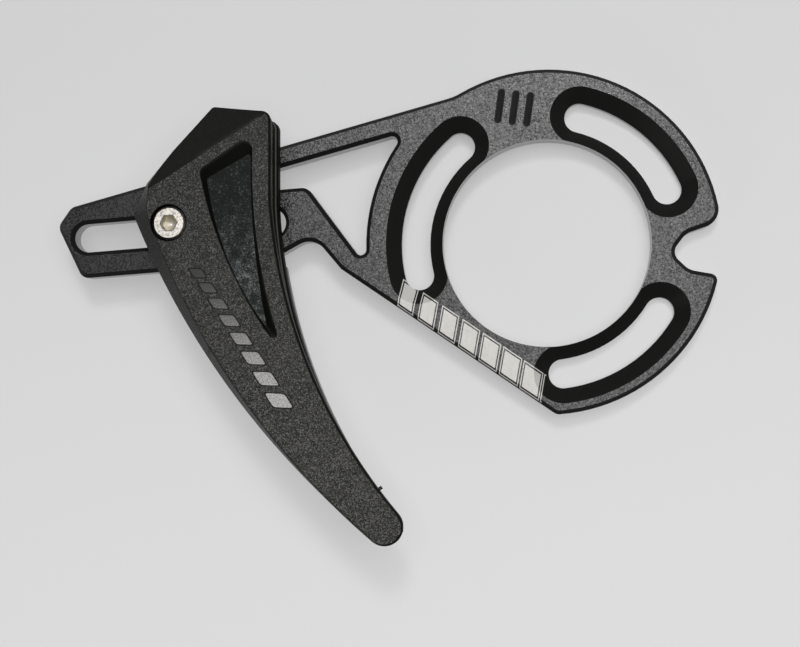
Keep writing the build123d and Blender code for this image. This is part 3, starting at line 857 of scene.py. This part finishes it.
class CHAINGUIDE_OT_dashes(bpy.types.Operator):
    """Lays the row of polished dashes on the face of the guide's tail"""

    bl_idname = "chainguide.dashes"
    bl_label = "Add tail dashes"

    def execute(self, context):
        settings = context.scene.chainguide_dashes
        shape, polished = slanted_dashes(settings)
        piece = add_pads(context.scene, "tail_dashes", shape, "polished", polished)
        material, start = new_finish("dash_painted_sheen")
        face = start.node("ShaderNodeAttribute", {"attribute_name": "polished"}, None, out="Fac")
        points = local_mm(start)
        rub = grain(points, DASH_RUB_SIZE, detail=1.0, roughness=0.7).step(*DASH_RUB_BAND)
        # Painted sheen: the dashes grow paler towards the tip, broken up by the rubbing noise
        sheen = split_xyz(points)[1].step(DASH_START[1] / MM, DASH_END[1] / MM)
        sheen = (sheen * rub.between(*DASH_RUB_TONE)).at_most(1.0)
        tone = sheen.mix(rgb(settings.sheenless_colour), rgb(settings.colour))
        colour = face.mix(rgb(DASH_BORDER_COLOUR), tone)
        rough = face.between(*DASH_ROUGH) + rub.swing(DASH_RUB_ROUGH)
        shade(start, surface(start, Base_Color=colour, Roughness=rough, Specular_IOR_Level=0.25,
                             Normal=bump(start, rub, DASH_DEPTH, strength=0.4)))
        piece.data.materials.append(material)
        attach(piece, "guide")
        return {"FINISHED"}


# Camera and lamps: places and sizes in metres, the lens and sensor in millimetres
CAMERA_PLACE = (-5.5904 * MM, -27.7052 * MM, 290.5 * MM)
CAMERA_TURN = (radians(2.194205), radians(5.520271), radians(-4.169762))
CAMERA_LENS = 60.4857
CAMERA_SENSOR = 36.0
CAMERA_CLIP = (0.01, 100.0)
KEY_PLACE = (0.11, 0.07, 0.75)
KEY_SIZE = (0.60, 0.58)
SIDE_PLACE = (0.02, 0.36, 0.70)
SIDE_SIZE = (0.14, 0.14)
FILL_PLACE = (-0.60, -0.30, 0.22)
FILL_SIZE = (0.40, 0.20)

# The backdrop, by how far up one looks, and the floor's glow, in metres along Y and its levels there
HORIZON_HEIGHTS = (0.14, 0.03)
FLOOR_FAR_TO_NEAR = (0.09, -0.11)
FLOOR_FAR_LEVEL = 0.80
FLOOR_NEAR_LEVEL = 1.06


def add_lamp(scene, name, place, size, power):
    """A soft rectangular lamp that looks at the origin."""
    lamp = bpy.data.lights.new(name, "AREA")
    lamp.shape = "RECTANGLE"
    lamp.size, lamp.size_y = size
    lamp.energy = power
    holder = bpy.data.objects.new(name, lamp)
    holder.location = place
    holder.rotation_euler = Vector(place).to_track_quat("Z", "Y").to_euler()
    scene.collection.objects.link(holder)


def floor_square(size):
    """Corners of the floor: the plane through the screw's end and the ring's right edge, on which the part
    lies. z = slope (x - edge), with slope = -low / (edge - axis)."""
    slope = -BOLT_LOW.z / (RING_EDGE - BOLT_AXIS.x)
    x = np.array([-1, 1, 1, -1]) * size / 2
    y = np.array([-1, -1, 1, 1]) * size / 2
    return np.column_stack([x, y, slope * (x - RING_EDGE)])


def floor_paper(settings):
    """Matt paper that keeps a share of the shadow: what the camera and mirrors see of it is mixed with a
    glow of its own pale colour."""
    material, start = new_finish("floor_paper")
    floor = settings.floor_colour
    paper = start.node("ShaderNodeBsdfDiffuse", None, {"Color": rgb(floor)})
    near = split_xyz(start)[1].step(*FLOOR_FAR_TO_NEAR)
    tone = near.mix(rgb(floor, FLOOR_FAR_LEVEL), rgb(floor, FLOOR_NEAR_LEVEL))
    glow = start.node("ShaderNodeEmission", None, {"Color": tone, "Strength": 1.0})
    path = start.node("ShaderNodeLightPath", None, None, out="Is Camera Ray")
    mirrored = path.output("Is Glossy Ray").at_least(path.output("Is Transmission Ray"))
    seen = path.at_least(mirrored) * settings.floor_lift
    shade(start, paper, glow, seen)
    return material


def room_world(settings):
    """Dim room with a pale backdrop at the horizon: the level eases from one to the other with the height
    looked at."""
    world = bpy.data.worlds.new("room")
    world.use_nodes = True
    tree = world.node_tree
    tree.nodes.clear()
    start = Signal(tree, tree.nodes.new("ShaderNodeTexCoord").outputs["Generated"])
    low = abs(split_xyz(start)[2]).step(*HORIZON_HEIGHTS)
    level = low.between(settings.room_level, settings.horizon_level)
    sky = start.node("ShaderNodeBackground", None, {"Color": rgb((1.0, 1.0, 1.0)), "Strength": level})
    start.node("ShaderNodeOutputWorld", None, {"Surface": sky}, out=None)
    return world


class CHAINGUIDE_OT_stage(bpy.types.Operator):
    """Sets the pale floor, the soft lamps, the room light and the camera"""

    bl_idname = "chainguide.stage"
    bl_label = "Set stage"

    def execute(self, context):
        scene = context.scene
        settings = scene.chainguide_stage
        mesh = bpy.data.meshes.new("floor")
        mesh.from_pydata(floor_square(settings.floor_size).tolist(), [], [(0, 1, 2, 3)])
        floor = bpy.data.objects.new("floor", mesh)
        scene.collection.objects.link(floor)
        mesh.materials.append(floor_paper(settings))

        add_lamp(scene, "softbox", KEY_PLACE, KEY_SIZE, settings.key_power)
        add_lamp(scene, "side_lamp", SIDE_PLACE, SIDE_SIZE, settings.side_power)
        add_lamp(scene, "low_fill", FILL_PLACE, FILL_SIZE, settings.fill_power)
        scene.world = room_world(settings)

        lens = bpy.data.cameras.new("camera")
        lens.sensor_fit = "HORIZONTAL"
        lens.sensor_width = CAMERA_SENSOR
        lens.lens = CAMERA_LENS
        lens.clip_start, lens.clip_end = CAMERA_CLIP
        camera = bpy.data.objects.new("camera", lens)
        camera.location = CAMERA_PLACE
        camera.rotation_euler = Euler(CAMERA_TURN)
        scene.collection.objects.link(camera)
        scene.camera = camera
        scene.view_settings.view_transform = "Standard"
        return {"FINISHED"}


class CHAINGUIDE_PT_panel(bpy.types.Panel):
    """Lists the steps and the settings of the chain guide"""

    bl_idname = "CHAINGUIDE_PT_panel"
    bl_label = "Chain Guide"
    bl_space_type = "VIEW_3D"
    bl_region_type = "UI"
    bl_category = "Chain Guide"

    def draw(self, context):
        for step, group in STEPS:
            box = self.layout.box()
            box.operator(step.bl_idname)
            settings = getattr(context.scene, group)
            for name in settings.__annotations__:
                box.prop(settings, name)


GROUPS = {
    "chainguide_plate": PlateSettings,
    "chainguide_shells": ShellSettings,
    "chainguide_hardware": HardwareSettings,
    "chainguide_strokes": StrokeSettings,
    "chainguide_dashes": DashSettings,
    "chainguide_stage": StageSettings,
}
STEPS = (
    (CHAINGUIDE_OT_plate, "chainguide_plate"),
    (CHAINGUIDE_OT_shells, "chainguide_shells"),
    (CHAINGUIDE_OT_hardware, "chainguide_hardware"),
    (CHAINGUIDE_OT_strokes, "chainguide_strokes"),
    (CHAINGUIDE_OT_dashes, "chainguide_dashes"),
    (CHAINGUIDE_OT_stage, "chainguide_stage"),
)


def register():
    for name, group in GROUPS.items():
        bpy.utils.register_class(group)
        setattr(bpy.types.Scene, name, PointerProperty(type=group))
    for step, _ in STEPS:
        bpy.utils.register_class(step)
    bpy.utils.register_class(CHAINGUIDE_PT_panel)


def unregister():
    bpy.utils.unregister_class(CHAINGUIDE_PT_panel)
    for step, _ in reversed(STEPS):
        bpy.utils.unregister_class(step)
    for name, group in reversed(GROUPS.items()):
        delattr(bpy.types.Scene, name)
        bpy.utils.unregister_class(group)


def main():
    register()
    bpy.ops.chainguide.plate()
    bpy.ops.chainguide.shells()
    bpy.ops.chainguide.hardware()
    bpy.ops.chainguide.strokes()
    bpy.ops.chainguide.dashes()
    bpy.ops.chainguide.stage()


if __name__ == "__main__":
    main()
